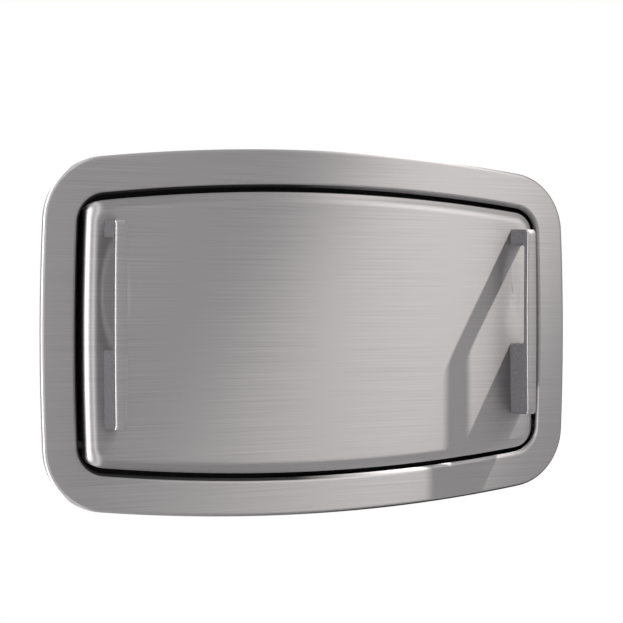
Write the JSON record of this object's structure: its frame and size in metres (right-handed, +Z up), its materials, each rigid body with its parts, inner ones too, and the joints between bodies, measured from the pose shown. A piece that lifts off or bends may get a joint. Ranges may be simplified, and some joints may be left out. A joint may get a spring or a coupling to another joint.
{
  "type": "baby changing station",
  "caption": "Recessed horizontal baby changing station: steel flange and steel-faced bed with pull handles, which folds down from a wall tub.",
  "frame": {"origin": "centre of the wall flange, on the finished face of the wall", "axes": "+X to the right along the wall, +Y into the wall, +Z up; the bed opens towards -Y"},
  "size_m": [0.984, 0.17, 0.62],
  "materials": {
    "brushed_steel": "horizontal brushed",
    "tub_plastic": "moulded, fine texture",
    "tray_plastic": "moulded, speckled",
    "handle_plastic": "moulded, speckled",
    "zinc_steel": "zinc plated",
    "ground_steel": "ground",
    "black_steel": "black paint",
    "nylon": "natural",
    "rubber": "moulded",
    "webbing": "woven",
    "buckle_plastic": "moulded",
    "button_plastic": "moulded"
  },
  "bodies": {
    "wall_unit": {"flange_frame": "brushed_steel", "recess_tub": "tub_plastic", "wall_plate_left": "zinc_steel", "wall_plate_right": "zinc_steel", "hinge_bush_left": "nylon", "hinge_bush_right": "nylon", "wall_screw_left_1": "zinc_steel", "wall_screw_left_2": "zinc_steel", "wall_screw_left_3": "zinc_steel", "wall_screw_right_1": "zinc_steel", "wall_screw_right_2": "zinc_steel", "wall_screw_right_3": "zinc_steel", "bumper_left": "rubber", "bumper_right": "rubber", "stop_pin": "ground_steel", "damper_cylinder": "black_steel", "damper_clamp_lower": "zinc_steel", "damper_clamp_upper": "zinc_steel", "liner_bin": "tray_plastic", "lid_pin": "ground_steel"},
    "bed": {"bed_skin": "brushed_steel", "bed_tray": "tray_plastic", "hinge_shaft": "ground_steel", "hinge_lever_left": "zinc_steel", "hinge_lever_right": "zinc_steel", "bed_rail_left": "zinc_steel", "bed_rail_right": "zinc_steel", "handle_left": "handle_plastic", "handle_right": "handle_plastic", "handle_screw_left_1": "zinc_steel", "handle_screw_left_2": "zinc_steel", "handle_screw_right_1": "zinc_steel", "handle_screw_right_2": "zinc_steel", "buckle_body": "buckle_plastic", "buckle_tongue": "buckle_plastic", "strap_lower": "webbing", "strap_upper": "webbing", "strap_anchor_lower": "ground_steel", "strap_anchor_upper": "ground_steel"},
    "damper_rod": {"damper_rod": "ground_steel", "damper_yoke": "zinc_steel"},
    "liner_lid": {"liner_lid": "tray_plastic"},
    "lid_lock": {"lid_lock": "ground_steel"},
    "buckle_button": {"buckle_button": "button_plastic"}
  },
  "joints": [
    {"name": "bed_hinge", "type": "hinge", "parent": "wall_unit", "child": "bed", "pos_m": [0, 0.01, -0.1765], "axis": [1, 0, 0], "range_deg": [0, 90]},
    {"name": "damper_slide", "type": "slide", "parent": "wall_unit", "child": "damper_rod", "axis": [0, 0, 1], "range_m": [0, 0.034]},
    {"name": "lid_hinge", "type": "hinge", "parent": "wall_unit", "child": "liner_lid", "pos_m": [0, 0.0925, 0.1758], "axis": [-1, 0, 0], "range_deg": [0, 90]},
    {"name": "lock_turn", "type": "hinge", "parent": "wall_unit", "child": "lid_lock", "pos_m": [0, 0.0567, 0.148], "axis": [0, -1, 0], "range_deg": [0, 90]},
    {"name": "button_press", "type": "slide", "parent": "bed", "child": "buckle_button", "axis": [0, -1, 0], "range_m": [0, 0.003], "stiffness_N_per_m": 800}
  ],
  "couplings": [
    {"joint": "damper_slide", "follows": "bed_hinge", "m_per_rad": 0.021608}
  ]
}
